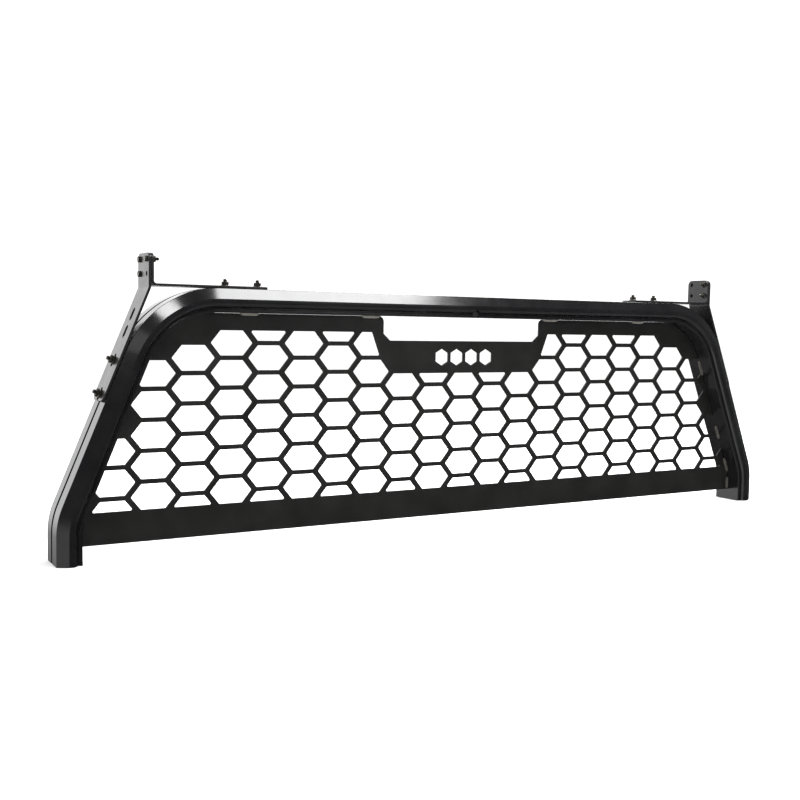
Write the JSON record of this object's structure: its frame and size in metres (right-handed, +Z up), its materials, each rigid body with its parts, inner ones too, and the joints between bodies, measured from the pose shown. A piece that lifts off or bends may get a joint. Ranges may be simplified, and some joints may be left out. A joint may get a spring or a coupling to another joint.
{
  "type": "headache rack",
  "caption": "Truck-bed headache rack: bent slotted extrusion arch with a hexagonal-mesh screen, a brake-light notch and corner load stops that slide along the top rail.",
  "frame": {"origin": "midway between the two feet, on the plane that they stand on, in the middle of the extrusion's depth", "axes": "+X across the truck towards the right-hand foot, -Y out of the face with the chamfered edge, +Z up"},
  "size_m": [1.74, 0.082, 0.555],
  "materials": {
    "gloss_black_coat": "semi-gloss black powder coat over aluminium",
    "satin_black_coat": "satin black powder coat over aluminium",
    "textured_black_coat": "fine-textured black powder coat over steel",
    "black_zinc": "black zinc-plated steel",
    "black_rubber": "matt moulded rubber"
  },
  "bodies": {
    "rack": {"frame_extrusion": "gloss_black_coat", "honeycomb_screen": "satin_black_coat", "wire_hole_grommet": "black_rubber", "side_strip_left": "textured_black_coat", "t_bolt_leg_upper_left": "black_zinc", "flange_nut_leg_upper_left": "black_zinc", "t_bolt_leg_lower_left": "black_zinc", "flange_nut_leg_lower_left": "black_zinc", "tab_bolt_upper_front_left": "black_zinc", "tab_bolt_upper_back_left": "black_zinc", "tab_bolt_lower_back_left": "black_zinc", "side_strip_right": "textured_black_coat", "t_bolt_leg_upper_right": "black_zinc", "flange_nut_leg_upper_right": "black_zinc", "t_bolt_leg_lower_right": "black_zinc", "flange_nut_leg_lower_right": "black_zinc", "tab_bolt_upper_front_right": "black_zinc", "tab_bolt_lower_front_right": "black_zinc"},
    "load_stop_left": {"top_bracket_left": "textured_black_coat", "t_bolt_rail_inner_left": "black_zinc", "flange_nut_rail_inner_left": "black_zinc", "t_bolt_rail_outer_left": "black_zinc", "flange_nut_rail_outer_left": "black_zinc", "tab_nut_upper_front_left": "black_zinc", "tab_nut_upper_back_left": "black_zinc", "tab_nut_lower_back_left": "black_zinc"},
    "load_stop_right": {"top_bracket_right": "textured_black_coat", "t_bolt_rail_inner_right": "black_zinc", "flange_nut_rail_inner_right": "black_zinc", "t_bolt_rail_outer_right": "black_zinc", "flange_nut_rail_outer_right": "black_zinc", "tab_nut_upper_front_right": "black_zinc", "tab_nut_lower_front_right": "black_zinc"}
  },
  "joints": [
    {"name": "left_load_stop_slide", "type": "slide", "parent": "rack", "child": "load_stop_left", "axis": [1, 0, 0], "range_m": [0, 0.42]},
    {"name": "right_load_stop_slide", "type": "slide", "parent": "rack", "child": "load_stop_right", "axis": [-1, 0, 0], "range_m": [0, 0.42]}
  ]
}
